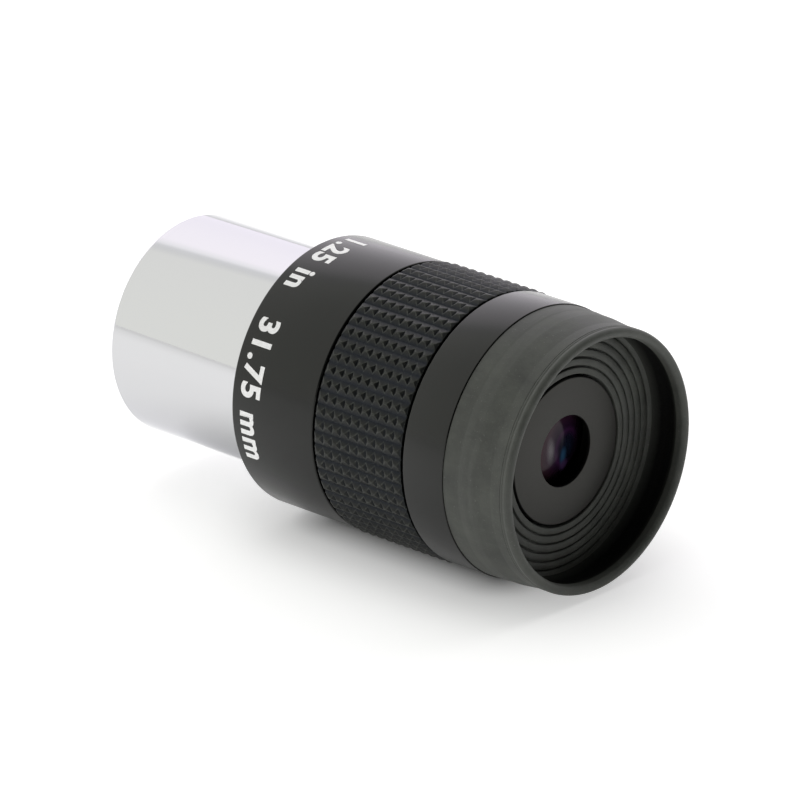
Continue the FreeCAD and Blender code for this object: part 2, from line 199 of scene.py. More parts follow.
class Nodes:
    """A node tree, with short ways to add to it."""

    def __init__(self, tree):
        self.tree = tree
        self.coordinates = tree.nodes.new("ShaderNodeTexCoord")

    def feed(self, source, socket):
        """Link an output to the socket, or set a number, vector or colour as the socket's own value."""
        if isinstance(source, bpy.types.NodeSocket):
            self.tree.links.new(source, socket)
        else:
            socket.default_value = source

    def ramp(self, value, *stops):
        """A colour for each value: each stop is (value, colour)."""
        node = self.tree.nodes.new("ShaderNodeValToRGB")
        while len(node.color_ramp.elements) < len(stops):
            node.color_ramp.elements.new(0.5)
        for element, (position, colour) in zip(node.color_ramp.elements, stops):
            element.position = position
            element.color = (*colour, 1.0)
        self.feed(value, node.inputs["Fac"])
        return node.outputs["Color"]

    def levels(self, value, *stops):
        """A grey for each value: each stop is (value, level)."""
        return self.ramp(value, *((position, grey(level)) for position, level in stops))

    def mix(self, factor, first, second):
        """From the first colour to the second. Each is an output or a plain colour."""
        node = self.tree.nodes.new("ShaderNodeMix")
        node.data_type = "RGBA"     # its colour sockets are inputs 6 and 7 and output 2
        self.feed(factor, node.inputs[0])
        for source, socket in ((first, node.inputs[6]), (second, node.inputs[7])):
            self.feed((*source, 1.0) if isinstance(source, tuple) else source, socket)
        return node.outputs[2]

    def vector_math(self, operation, *sources):
        node = self.tree.nodes.new("ShaderNodeVectorMath")
        node.operation = operation
        for source, socket in zip(sources, node.inputs):
            self.feed(source, socket)
        return node

    def number_math(self, operation, first, second):
        node = self.tree.nodes.new("ShaderNodeMath")
        node.operation = operation
        self.feed(first, node.inputs[0])
        self.feed(second, node.inputs[1])
        return node.outputs["Value"]

    def from_camera(self):
        """1 where the camera sees the surface itself, and 0 where something is lit by it or reflects it."""
        return self.tree.nodes.new("ShaderNodeLightPath").outputs["Is Camera Ray"]


class Surface(Nodes):
    """A Principled material, with short ways to add procedural texture to it."""

    def __init__(self, name, colour, roughness, metallic=0.0, **sockets):
        self.material = bpy.data.materials.new(name)
        self.material.use_nodes = True
        super().__init__(self.material.node_tree)
        self.shader = self.tree.nodes["Principled BSDF"]
        self.shader.inputs["Base Color"].default_value = (*colour, 1.0)
        self.shader.inputs["Roughness"].default_value = roughness
        self.shader.inputs["Metallic"].default_value = metallic
        for socket, value in sockets.items():
            self.shader.inputs[socket.replace("_", " ")].default_value = value

    def drive(self, **sockets):
        """Link outputs to the shader's sockets of those names."""
        for socket, source in sockets.items():
            self.feed(source, self.shader.inputs[socket.replace("_", " ")])

    def place(self, scale, shift=(0, 0, 0)):
        """Object coordinates, scaled by axis, so that a texture can be fine one way only, and moved."""
        mapping = self.tree.nodes.new("ShaderNodeMapping")
        mapping.inputs["Scale"].default_value = scale
        mapping.inputs["Location"].default_value = shift
        self.feed(self.coordinates.outputs["Object"], mapping.inputs["Vector"])
        return mapping.outputs["Vector"]

    def noise(self, scale, detail=4.0, stretch=(1, 1, 1), roughness=0.5):
        node = self.tree.nodes.new("ShaderNodeTexNoise")
        node.inputs["Scale"].default_value = scale
        node.inputs["Detail"].default_value = detail
        node.inputs["Roughness"].default_value = roughness
        self.feed(self.place(stretch), node.inputs["Vector"])
        return node.outputs["Fac"]

    def remap(self, value, low, high, to_low, to_high):
        node = self.tree.nodes.new("ShaderNodeMapRange")
        for socket, number in (("From Min", low), ("From Max", high),
                               ("To Min", to_low), ("To Max", to_high)):
            node.inputs[socket].default_value = number
        self.feed(value, node.inputs["Value"])
        return node.outputs["Result"]

    def radius(self):
        """Distance from the optical axis, in millimetres."""
        return self.vector_math("LENGTH", self.place((0, 1 / MM, 1 / MM))).outputs["Value"]

    def station(self):
        """Place along the optical axis, in millimetres."""
        parts = self.tree.nodes.new("ShaderNodeSeparateXYZ")
        self.feed(self.place((1 / MM, 1, 1)), parts.inputs[0])
        return parts.outputs["X"]

    def away(self, y, z, wide, tall):
        """Distance across the axis from (y, z), as a share of a width and a height, in millimetres."""
        scaled = self.place((0, 1 / (wide * MM), 1 / (tall * MM)), (0, -y / wide, -z / tall))
        return self.vector_math("LENGTH", scaled).outputs["Value"]

    def bump(self, height, depth, strength=1.0):
        """Relief of that depth in metres."""
        node = self.tree.nodes.new("ShaderNodeBump")
        node.inputs["Strength"].default_value = strength
        node.inputs["Distance"].default_value = depth
        self.feed(height, node.inputs["Height"])
        self.drive(Normal=node.outputs["Normal"])


def chrome_plate():
    """Polished chrome over a turned barrel: faint turning lines and a slight haze."""
    surface = Surface("chrome_plate", (0.600, 0.603, 0.612), 0.05, metallic=1.0,
                      Specular_Tint=(0.80, 0.80, 0.82, 1.0))
    haze = surface.noise(55.0, 3.0)
    surface.drive(Roughness=surface.remap(haze, 0.3, 0.7, 0.035, 0.075))
    lines = surface.noise(1.0, 2.0, stretch=(9000, 20, 20))
    surface.bump(lines, 0.0000003)
    return surface.material


def black_anodised():
    """Satin black anodising over fine turning marks."""
    surface = Surface("black_anodised", (0.003, 0.003, 0.003), 0.2, IOR=1.41,
                      Specular_Tint=(0.985, 1.0, 0.96, 1.0))
    cloud = surface.noise(90.0, 3.0)
    surface.drive(Base_Color=surface.ramp(cloud, (0.3, (0.002, 0.0021, 0.002)),
                                          (0.75, (0.005, 0.0052, 0.0048))))
    surface.drive(Roughness=surface.remap(cloud, 0.3, 0.7, 0.17, 0.22))
    lines = surface.noise(1.0, 2.0, stretch=(7000, 30, 30))
    surface.bump(lines, 0.0000008)
    return surface.material


def cap_black():
    """The matt black disc round the eye lens."""
    surface = Surface("cap_black", (0.006, 0.006, 0.0055), 0.42, IOR=1.45,
                      Specular_Tint=(1.0, 0.99, 0.91, 1.0))
    grain = surface.noise(5200.0, 2.0)
    surface.drive(Base_Color=surface.ramp(grain, (0.3, (0.005, 0.005, 0.0045)),
                                          (0.7, (0.008, 0.008, 0.0072))))
    surface.bump(grain, 0.000003, 0.4)
    return surface.material


def inner_black():
    """Flat black paint on what is inside, against stray light."""
    surface = Surface("inner_black", (0.003, 0.003, 0.003), 0.8, IOR=1.4)
    grain = surface.noise(3500.0, 3.0)
    surface.drive(Base_Color=surface.levels(grain, (0.3, 0.002), (0.7, 0.005)))
    surface.bump(grain, 0.00001, 0.6)
    return surface.material


def grip_rubber(name, clean, paler):
    """Firm moulded rubber, whose gloss is painted darker and bluer down in the grooves as painted shade.
    Its first colour is the darkest and its second the palest.
    """
    surface = Surface(name, clean, 0.4, IOR=1.325)
    cloud = surface.noise(160.0, 3.0)
    dust = surface.noise(2400.0, 4.0, roughness=0.7)
    surface.drive(Base_Color=surface.mix(surface.remap(dust, 0.45, 0.75, 0.0, 1.0), clean, paler))
    height = surface.remap(surface.radius(), GROOVE_FLOOR, GROOVE_FLOOR + GROOVE_DEEP, 0.0, 1.0)
    # Painted shade: the gloss is tinted darker and bluer towards the groove floor.
    surface.drive(Specular_Tint=surface.ramp(height, (0.1, (0.55, 0.64, 0.84)), (0.7, (0.96, 0.98, 0.93))))
    surface.drive(Roughness=surface.remap(cloud, 0.3, 0.7, 0.32, 0.46))
    surface.bump(dust, 0.00002, 0.6)
    return surface.material


def along_cup(surface):
    """Place along the cup: 0 at 40 mm along the axis and 1 at 50 mm."""
    return surface.remap(surface.station(), 40.0, 50.0, 0.0, 1.0)


def eyecup_rubber():
    """Soft matt rubber, greenish black: paler in bands at the fold and the lip, with rub marks and dust."""
    surface = Surface("eyecup_rubber", (0.040, 0.043, 0.037), 0.6, IOR=1.45,
                      Sheen_Weight=0.075, Sheen_Roughness=0.45)
    patches = surface.noise(260.0, 6.0, stretch=(0.6, 1, 1), roughness=0.65)
    base = surface.ramp(patches, (0.32, (0.028, 0.0305, 0.026)), (0.70, (0.064, 0.069, 0.0585)))
    smears = surface.noise(90.0, 5.0, stretch=(3, 1, 1), roughness=0.65)
    rubbed = surface.mix(surface.remap(smears, 0.52, 0.70, 0.0, 0.4), base, (0.082, 0.087, 0.076))
    streaks = surface.noise(900.0, 4.0, stretch=(0.16, 1, 1), roughness=0.7)
    streaked = surface.mix(surface.remap(streaks, 0.60, 0.78, 0.0, 0.35), rubbed,
                           (0.095, 0.10, 0.088))
    fold = surface.levels(along_cup(surface), (0.15, 0.0), (0.23, 0.30), (0.27, 0.24), (0.36, 0.05),
                          (0.44, 0.12), (0.50, 0.0), (0.93, 0.0), (0.97, 0.25))
    paler = surface.mix(fold, streaked, (0.10, 0.105, 0.095))
    grain = surface.noise(3800.0, 3.0, roughness=0.6)
    dusty = surface.mix(surface.remap(grain, 0.64, 0.74, 0.0, 0.6), paler, (0.15, 0.152, 0.14))
    surface.drive(Base_Color=dusty)
    surface.drive(Roughness=surface.remap(patches, 0.3, 0.7, 0.52, 0.66))
    surface.bump(grain, 0.000022, 0.6)
    return surface.material


def eyecup_inside():
    """The same rubber on the cup's inner wall, painted almost black as painted shade between the face's
    edge and the lip, and paler towards each of them as painted light.
    """
    surface = Surface("eyecup_rubber_inside_painted_shade", (0.004, 0.004, 0.004), 0.75, IOR=1.25)
    grain = surface.noise(3800.0, 3.0, roughness=0.6)
    # Painted shade: almost black, with painted light paler towards the face's edge and the lip.
    black = surface.ramp(grain, (0.35, (0.003, 0.003, 0.003)), (0.75, (0.008, 0.008, 0.0075)))
    painted_light_ends = surface.levels(along_cup(surface), (0.46, 0.6), (0.60, 0.0), (0.86, 0.0), (0.93, 0.6))
    surface.drive(Base_Color=surface.mix(painted_light_ends, black, (0.05, 0.053, 0.046)))
    surface.bump(grain, 0.00001, 0.5)
    return surface.material


def eye_glass():
    """The eye lens: dark glass with painted reflections: a violet arc, a pink edge, a teal glint and a
    purple glow in its colour, and painted highlights in its coat's weight.
    """
    surface = Surface("coated_eye_glass", (0.0, 0.0, 0.0), 0.3, IOR=1.5, Specular_IOR_Level=0.0,
                      Coat_Roughness=0.16, Coat_IOR=1.62)
    # Painted highlights: the coat's weight is raised in fixed places, in a broad pale zone and in a narrow
    # bright band.
    painted_sheen_weight = surface.levels(surface.away(y=1.0, z=-0.455, wide=5.0, tall=9.1),
                           (0.0, 0.03), (0.15, 0.12), (0.26, 0.22), (0.42, 0.32), (1.0, 0.22))
    painted_streak_weight = surface.levels(surface.away(y=-0.91, z=-0.266, wide=0.91, tall=2.22), (0.15, 1.0), (1.0, 0.0))
    surface.drive(Coat_Weight=surface.mix(painted_streak_weight, painted_sheen_weight, grey(1.0)))

    # Painted reflections: a violet arc, a pink edge, a teal glint and a purple glow in the base colour,
    # fading to black away from the axis.
    middle_blue, dark_blue, violet, plum = (
        (0.004, 0.009, 0.018), (0.007, 0.006, 0.016), (0.034, 0.010, 0.040), (0.018, 0.007, 0.022))
    dark_rose, rose, pink = (0.028, 0.010, 0.024), (0.050, 0.022, 0.032), (0.095, 0.045, 0.052)
    teal, purple = (0.018, 0.055, 0.110), (0.055, 0.028, 0.085)
    painted_reflection_colours = surface.ramp(surface.away(y=2.67, z=-0.8, wide=6.67, tall=6.67),
                        (0.0, middle_blue), (0.26, dark_blue), (0.38, violet), (0.46, plum),
                        (0.62, dark_rose), (0.76, rose), (0.92, pink))
    painted_reflection_fade = surface.levels(surface.away(y=0.0, z=1.5, wide=7.14, tall=7.14), (0.6, 0.0), (0.95, 1.0))
    painted_glint = surface.levels(surface.away(y=1.82, z=-1.835, wide=0.91, tall=1.67), (0.3, 1.0), (0.95, 0.0))
    painted_glow = surface.levels(surface.away(y=2.22, z=-3.33, wide=1.11, tall=1.11), (0.3, 1.0), (1.0, 0.0))
    with_painted_glint = surface.mix(painted_glint, surface.mix(painted_reflection_fade, painted_reflection_colours, grey(0.0)), teal)
    surface.drive(Base_Color=surface.mix(painted_glow, with_painted_glint, purple))
    return surface.material


def inner_glass():
    """Clear optical glass under an anti-reflection film, whose thickness is in nanometres."""
    surface = Surface("optical_glass", (0.96, 0.98, 0.97), 0.0, IOR=1.62, Transmission_Weight=1.0,
                      Thin_Film_Thickness=155.0, Thin_Film_IOR=1.38)
    return surface.material


def marking_white():
    """Filled engraving: off-white paint, slightly uneven."""
    surface = Surface("marking_white", (0.90, 0.90, 0.90), 0.5)
    wear = surface.noise(1500.0, 4.0)
    surface.drive(Base_Color=surface.levels(wear, (0.25, 0.88), (0.6, 0.97)))
    return surface.material


GROOVE_FLOOR = 19.3     # radius of the bottom of the grooves between the grip's ridges
GROOVE_DEEP = 0.4       # from there up to the ridges' tops
CHROME, ANODISED = chrome_plate(), black_anodised()
CAP_BLACK, INNER_BLACK = cap_black(), inner_black()
GRIP = grip_rubber("grip_rubber", (0.002, 0.0024, 0.0024), (0.012, 0.013, 0.011))
# The second grip rubber is paler, for the studs' rounded edges: a painted highlight.
GRIP_PAINTED_HIGHLIGHT = grip_rubber("grip_rubber_painted_highlight", (0.014, 0.015, 0.013), (0.06, 0.063, 0.055))
CUP, CUP_INSIDE, WHITE = eyecup_rubber(), eyecup_inside(), marking_white()
EYE_GLASS, INNER_GLASS = eye_glass(), inner_glass()

# ---- barrel --------------------------------------------------------------------------------------

BARREL_BACK, BARREL_SPIGOT_END, BARREL_RADIUS = span("barrel")
SHOULDER = 0.0
STEP_RADIUS, STEP_LENGTH = 15.6, 1.0    # the step between the barrel and its spigot
SPIGOT_RADIUS = 14.5
BARREL_BORE = 13.4
FILTER_BORE = 14.05
PAINTED_DEPTH = 0.9                     # paint covers what lies deeper than this under the chrome
THREAD_LENGTH, THREAD_PITCH, THREAD_DEPTH = 4.0, 0.6, 0.3


def barrel():
    """The chromed tube, with the filter thread's crests inside its open end."""
    thread = []
    turns = int(THREAD_LENGTH / THREAD_PITCH)
    for index in range(turns):
        crest = BARREL_BACK + THREAD_PITCH * (index + 0.8)
        thread.append((crest, FILTER_BORE - THREAD_DEPTH / 2))
        thread.append((crest + THREAD_PITCH / 2, FILTER_BORE + THREAD_DEPTH / 2))
    corners = [(BARREL_BACK, FILTER_BORE + 0.25, 0.06)] + thread + [
        (BARREL_BACK + THREAD_LENGTH + 0.5, FILTER_BORE),
        (BARREL_BACK + THREAD_LENGTH + 0.5, BARREL_BORE),
        (BARREL_SPIGOT_END, BARREL_BORE),
        (BARREL_SPIGOT_END, SPIGOT_RADIUS),
        (SHOULDER + STEP_LENGTH, SPIGOT_RADIUS),
        (SHOULDER + STEP_LENGTH, STEP_RADIUS),
        (SHOULDER, STEP_RADIUS),
        (SHOULDER, BARREL_RADIUS),
        (BARREL_BACK, BARREL_RADIUS, 0.45),
    ]
    threads_end = BARREL_BACK + THREAD_LENGTH + 0.4

    def paint(along, radius):
        return int(radius < BARREL_RADIUS - PAINTED_DEPTH and along > threads_end)

    made = turned("barrel_chrome", corners, HOUSING, "chrome_plate", CHROME, INNER_BLACK, paint=paint)
    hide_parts("barrel")


barrel()

# ---- body shell, with its marking ----------------------------------------------------------------

_, BODY_END, BODY_RADIUS = span("body_shell")
GRIP_BACK, GRIP_FRONT, GRIP_RADIUS = span("grip_sleeve")
BAND_END = GRIP_BACK - 0.38     # the rear band stops short of the grip and leaves a dark line
CORE_RADIUS = 18.2
SEAT_BORE, SPIGOT_BORE, BODY_BORE = 15.95, 14.55, 16.3      # from the shoulder inwards
BODY_FLOOR = 8.0                # where the wide bore begins


def body_shell():
    """The rear band, with the shoulder, and the core under the grip."""
    corners = [
        (SHOULDER, SEAT_BORE, 0.1),
        (SHOULDER + STEP_LENGTH, SEAT_BORE),
        (SHOULDER + STEP_LENGTH, SPIGOT_BORE),
        (BODY_FLOOR, SPIGOT_BORE),
        (BODY_FLOOR, BODY_BORE),
        (BODY_END, BODY_BORE),
        (BODY_END, CORE_RADIUS),
        (BAND_END, CORE_RADIUS),
        (BAND_END, BODY_RADIUS, 0.22),
        (SHOULDER, BODY_RADIUS, 0.32),
    ]
    made = turned("body_shell_anodised", corners, HOUSING, "black_anodised", ANODISED)
    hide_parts("body_shell")


body_shell()

MARKING = "1.25 in   31.75 mm"
MARK_BASE, MARK_HEIGHT = 1.55, 3.75     # where the feet of the figures stand, and how tall they are
MARK_START = math.radians(80)           # measured from +Y over the top
MARK_SINK = 0.02                        # how far the figures reach above and below the surface
MARK_SLICE = 0.4                        # width of the strips that follow the curve
MARK_WEIGHT, MARK_THICKNESS = 0.034, 0.01       # of the strokes, as shares of the type's size
MARK_SPACING = 1.12
MARK_WELD = 1e-5


def marking():
    """Generic size figures round the rear band, cut finely enough to follow the curve."""
    curve = bpy.data.curves.new("marking_text", "FONT")
    curve.body = MARKING
    curve.offset = MARK_WEIGHT
    curve.extrude = MARK_THICKNESS
    curve.space_character = MARK_SPACING
    text = bpy.data.objects.new("marking_text", curve)
    bpy.context.scene.collection.objects.link(text)
    bpy.context.view_layer.update()
    flat = bpy.data.meshes.new_from_object(text.evaluated_get(bpy.context.evaluated_depsgraph_get()))
    bpy.data.objects.remove(text)
    made = bmesh.new()
    made.from_mesh(flat)
    bmesh.ops.remove_doubles(made, verts=made.verts, dist=MARK_WELD)
    low = min(vertex.co.y for vertex in made.verts)
    scale = MARK_HEIGHT / (max(vertex.co.y for vertex in made.verts) - low)
    for vertex in made.verts:
        vertex.co = Vector((vertex.co.x * scale, (vertex.co.y - low) * scale, vertex.co.z))
    width = max(vertex.co.x for vertex in made.verts)
    for cut in range(1, int(width / MARK_SLICE) + 1):
        bmesh.ops.bisect_plane(made, geom=made.verts[:] + made.edges[:] + made.faces[:],
                               plane_co=(cut * MARK_SLICE, 0, 0), plane_no=(1, 0, 0))
    bmesh.ops.triangulate(made, faces=[face for face in made.faces if len(face.verts) > 4])
    for vertex in made.verts:
        angle = MARK_START + vertex.co.x / BODY_RADIUS
        radius = BODY_RADIUS + (MARK_SINK if vertex.co.z > 0 else -MARK_SINK)
        vertex.co = Vector((MARK_BASE + vertex.co.y, radius * math.cos(angle),
                            radius * math.sin(angle))) * MM
    finish_mesh("body_marking", made, HOUSING, "black_anodised", WHITE)


marking()

# ---- grip sleeve ---------------------------------------------------------------------------------

STUDS_ALONG, STUDS_AROUND = 10, 62
STUD_TOP_LENGTH, STUD_TOP_WIDTH = 0.5, 0.2
NOTCH_FLOOR = 19.42     # the notches across the ridges are shallower than the grooves between them
GRIP_BORE = 18.25
EDGE_WIDTH = 0.00009    # of the rounding along the studs' edges, in metres, painted paler as a painted highlight
EDGE_ANGLE = math.radians(12)       # edges that turn more than this are rounded


def grip_sleeve():
    """Lengthwise ridges, crossed by notches into studs, each shaped like a hipped roof."""
    made = bmesh.new()
    pitch = (GRIP_FRONT - GRIP_BACK) / STUDS_ALONG
    step = 2 * math.pi / STUDS_AROUND
    top_width = STUD_TOP_WIDTH / (GRIP_RADIUS * step)       # widths are fractions of a step
    fall = (GRIP_RADIUS - NOTCH_FLOOR) / (GRIP_RADIUS - GROOVE_FLOOR)
    notch_width = top_width + (1 - top_width) * fall

    def point(along, turn, radius):
        angle = step * turn
        return made.verts.new(Vector((along, radius * math.cos(angle), radius * math.sin(angle))) * MM)

    for row in range(STUDS_ALONG):
        middle = GRIP_BACK + pitch * (row + 0.5)
        for turn in range(STUDS_AROUND):
            tops, hips, feet = [], [], []
            for end, side in ((-1, -1), (1, -1), (1, 1), (-1, 1)):
                tops.append(point(middle + end * STUD_TOP_LENGTH / 2, turn + side * top_width / 2,
                                  GRIP_RADIUS))
                hips.append(point(middle + end * pitch / 2, turn + side * notch_width / 2, NOTCH_FLOOR))
                feet.append(point(middle + end * pitch / 2, turn + side / 2, GROOVE_FLOOR))
            made.faces.new(tops)
            made.faces.new((tops[1], hips[1], hips[2], tops[2]))
            made.faces.new((tops[3], hips[3], hips[0], tops[0]))
            made.faces.new((feet[0], feet[1], hips[1], tops[1], tops[0], hips[0]))
            made.faces.new((feet[2], feet[3], hips[3], tops[3], tops[2], hips[2]))
    for station in (GRIP_BACK, GRIP_FRONT):
        for turn in range(STUDS_AROUND):
            edge = [point(station, turn - 0.5, GROOVE_FLOOR),
                    point(station, turn - notch_width / 2, NOTCH_FLOOR),
                    point(station, turn + notch_width / 2, NOTCH_FLOOR),
                    point(station, turn + 0.5, GROOVE_FLOOR)]
            bore = [point(station, turn + 0.5, GRIP_BORE), point(station, turn - 0.5, GRIP_BORE)]
            made.faces.new(edge + bore)
    for turn in range(STUDS_AROUND):
        made.faces.new([point(station, turn + side, GRIP_BORE)
                        for station, side in ((GRIP_BACK, -0.5), (GRIP_BACK, 0.5),
                                              (GRIP_FRONT, 0.5), (GRIP_FRONT, -0.5))])
    bmesh.ops.remove_doubles(made, verts=made.verts, dist=WELD)
    bmesh.ops.recalc_face_normals(made, faces=made.faces)
    weight = made.edges.layers.float.new("bevel_weight_edge")
    for edge in made.edges:
        edge[weight] = float(edge.is_convex and edge.calc_face_angle() > EDGE_ANGLE)
    piece = finish_mesh("grip_studs", made, HOUSING, "grip_rubber", GRIP, GRIP_PAINTED_HIGHLIGHT)
    soften = piece.modifiers.new("painted_highlight_edges", "BEVEL")
    soften.width = EDGE_WIDTH
    soften.segments = 2
    soften.limit_method = "WEIGHT"
    soften.material = 1         # the paler rubber, a painted highlight along the edges
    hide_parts("grip_sleeve")


grip_sleeve()

# ---- front ring ----------------------------------------------------------------------------------

NOSE_BACK, NOSE_FRONT, RING_RADIUS = span("front_ring")
CUP_BACK, FACE_FRONT, CUP_RADIUS = span("eyecup_base")
RING_FRONT = CUP_BACK - 0.03        # a hair's breadth shows between the ring and the cup
RING_CHAMFER = 0.08
RING_BORE, RING_LIP, RING_SPIGOT, NOSE_RADIUS = 14.0, 10.65, 16.2, 15.6
LIP_BACK = RING_FRONT - 3.0


def front_ring():
    """The smooth ring, with the spigot in the body behind it and the cup's nose before it."""
    corners = [
        (NOSE_BACK, RING_BORE),
        (LIP_BACK, RING_BORE),
        (LIP_BACK, RING_LIP),
        (NOSE_FRONT, RING_LIP),
        (NOSE_FRONT, NOSE_RADIUS),
        (RING_FRONT, NOSE_RADIUS),
        (RING_FRONT, RING_RADIUS - RING_CHAMFER),
        (RING_FRONT - RING_CHAMFER, RING_RADIUS, 0.03),
        (BODY_END, RING_RADIUS, 0.25),
        (BODY_END, RING_SPIGOT),
        (NOSE_BACK, RING_SPIGOT),
    ]
    made = turned("front_ring_anodised", corners, HOUSING, "black_anodised", ANODISED)
    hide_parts("front_ring")


front_ring()

# ---- rubber eyecup: base with the grooved face, free skirt, beaded rim ---------------------------

CREASE, RIM_BACK, _ = span("eyecup_skirt")
RIM_RADIUS = span("eyecup_rim")[2]
CUP_BORE = NOSE_RADIUS + 0.05
FACE_EDGE, FACE_HOLE = 17.2, 10.9
GROOVES, GROOVE_FIRST, GROOVE_PITCH, GROOVE_WIDTH, GROOVE_DEPTH = 5, 11.95, 1.25, 0.3, 0.6
RIM_BORE, RIM_ROUND = 17.48, 50.08      # the bead's inside radius, and where its round starts
WALL_WAIST, WALL_BORE = 47.6, 18.15     # where the wall bends a little, and its inside radius there


def eyecup_base():
    """The sleeve on the ring's nose, and the face, with a shallow hollow beside each groove."""
    corners = [
        (CUP_BACK, CUP_BORE),
        (NOSE_FRONT + 0.05, CUP_BORE),
        (NOSE_FRONT + 0.05, FACE_HOLE),
        (FACE_FRONT, FACE_HOLE, 0.15),
    ]
    for index in range(GROOVES):
        middle = GROOVE_FIRST + GROOVE_PITCH * index
        inner, outer = middle - GROOVE_WIDTH / 2, middle + GROOVE_WIDTH / 2
        corners += [
            (FACE_FRONT, inner, 0.14),
            (FACE_FRONT - GROOVE_DEPTH, inner + 0.08, 0.06),
            (FACE_FRONT - GROOVE_DEPTH, outer - 0.08, 0.06),
            (FACE_FRONT - 0.08, outer, 0.14),
            (FACE_FRONT + 0.03, middle + GROOVE_PITCH / 2, 1.0),
        ]
    corners[-1] = (FACE_FRONT, FACE_EDGE)
    corners += [
        (CREASE, FACE_EDGE),
        (CREASE, CUP_RADIUS - 0.1),
        (CREASE - 0.4, CUP_RADIUS - 0.05, 0.3),
        (CUP_BACK, CUP_RADIUS, 0.07),
    ]
    made = turned("eyecup_base_rubber", corners, HOUSING, "eyecup_rubber", CUP)
    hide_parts("eyecup_base")


def eyecup_skirt():
    """The free wall, which springs from the face's edge."""
    corners = [
        (CREASE, FACE_EDGE - 0.1),
        (FACE_FRONT - 0.12, FACE_EDGE - 0.1),
        (FACE_FRONT + 0.02, FACE_EDGE + 0.05, 0.1),
        (FACE_FRONT + 0.3, FACE_EDGE + 0.62, 0.5),
        (FACE_FRONT + 1.3, FACE_EDGE + 0.98, 1.0),
        (WALL_WAIST, WALL_BORE, 2.0),
        (RIM_BACK, RIM_BORE),
        (RIM_BACK, RIM_RADIUS),
        (WALL_WAIST, RIM_RADIUS - 0.04, 2.0),
        (CREASE + 2.2, CUP_RADIUS - 0.16, 2.0),
        (CREASE + 0.5, CUP_RADIUS - 0.13, 0.4),
        (CREASE, CUP_RADIUS - 0.1),
    ]

    # Faces inside the wall take the rubber painted almost black, a painted shade.
    def paint(along, radius):
        return int(along > FACE_FRONT + 0.15 and radius < RIM_RADIUS - 0.5)

    made = turned("eyecup_skirt_rubber", corners, HOUSING, "eyecup_rubber", CUP, CUP_INSIDE,
                  paint=paint, steps=8)
    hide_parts("eyecup_skirt")
    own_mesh(made)


def eyecup_rim():
    """The lip: a round bead with a groove behind it."""
    middle, thick = (RIM_BORE + RIM_RADIUS) / 2, (RIM_RADIUS - RIM_BORE) / 2
    outline = [Vector((RIM_BACK, RIM_BORE))]
    steps = 24
    for step in range(steps + 1):
        angle = math.pi * step / steps - math.pi / 2
        outline.append(Vector((RIM_ROUND + thick * math.cos(angle), middle + thick * math.sin(angle))))
    groove = [
        (RIM_BACK + 0.70, RIM_RADIUS - 0.02, 0.2),
        (RIM_BACK + 0.46, RIM_RADIUS - 0.07, 0.2),
        (RIM_BACK + 0.30, RIM_RADIUS, 0.08),
        (RIM_BACK + 0.12, RIM_RADIUS - 0.01, 0.05),
        (RIM_BACK + 0.06, RIM_RADIUS - 0.07, 0.03),
        (RIM_BACK, RIM_RADIUS),
    ]
    outline += rounded([(RIM_ROUND, RIM_RADIUS)] + groove)[1:]
    made = finish_mesh("eyecup_rim_bead", turned_mesh(outline), CUP_RIM, "eyecup_rubber", CUP)
    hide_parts("eyecup_rim")


eyecup_base()
eyecup_skirt()
eyecup_rim()

# ---- cap and lenses ------------------------------------------------------------------------------

CAP_BACK, CAP_FRONT, CAP_RADIUS = span("eye_cap")
CAP_LIP = span("eye_lens")[1] - 1.53        # where the lip inside the cap holds the lens
CAP_DISC = CAP_FRONT - 1.0                  # the back of the cap's disc
CAP_THREAD, CAP_SLEEVE, CAP_SEAT = 8.95, 8.05, 7.4      # radii, from the outside in
EYE_HOLE, EYE_FUNNEL = 5.06, 6.2            # radii of the hole's edge and of the funnel behind it


def eye_cap():
    """The flat disc with the eye hole, and the sleeve and lip behind it that hold the lens."""
    corners = [
        (CAP_BACK, CAP_SLEEVE),
        (CAP_LIP, CAP_SLEEVE),
        (CAP_LIP, CAP_SEAT),
        (CAP_DISC, CAP_SEAT),
        (CAP_DISC, EYE_FUNNEL),
        (CAP_FRONT - 0.35, EYE_HOLE),
        (CAP_FRONT, EYE_HOLE + 0.04, 0.08),
        (CAP_FRONT, CAP_RADIUS, 0.15),
        (CAP_DISC, CAP_RADIUS),
        (CAP_DISC, CAP_THREAD),
        (CAP_BACK, CAP_THREAD),
    ]
    made = turned("eye_cap_disc", corners, HOUSING, "cap_black", CAP_BLACK)
    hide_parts("eye_cap")


eye_cap()

LENS_EDGE, FIELD_EDGE = span("middle_lens")[2], span("field_lens_flint")[2]
CEMENT_GAP = 0.02       # keeps the two faces of a cemented pair from lying in one place
FIELD_FLINT = 1.6       # thickness of the field group's hollow lens on the axis


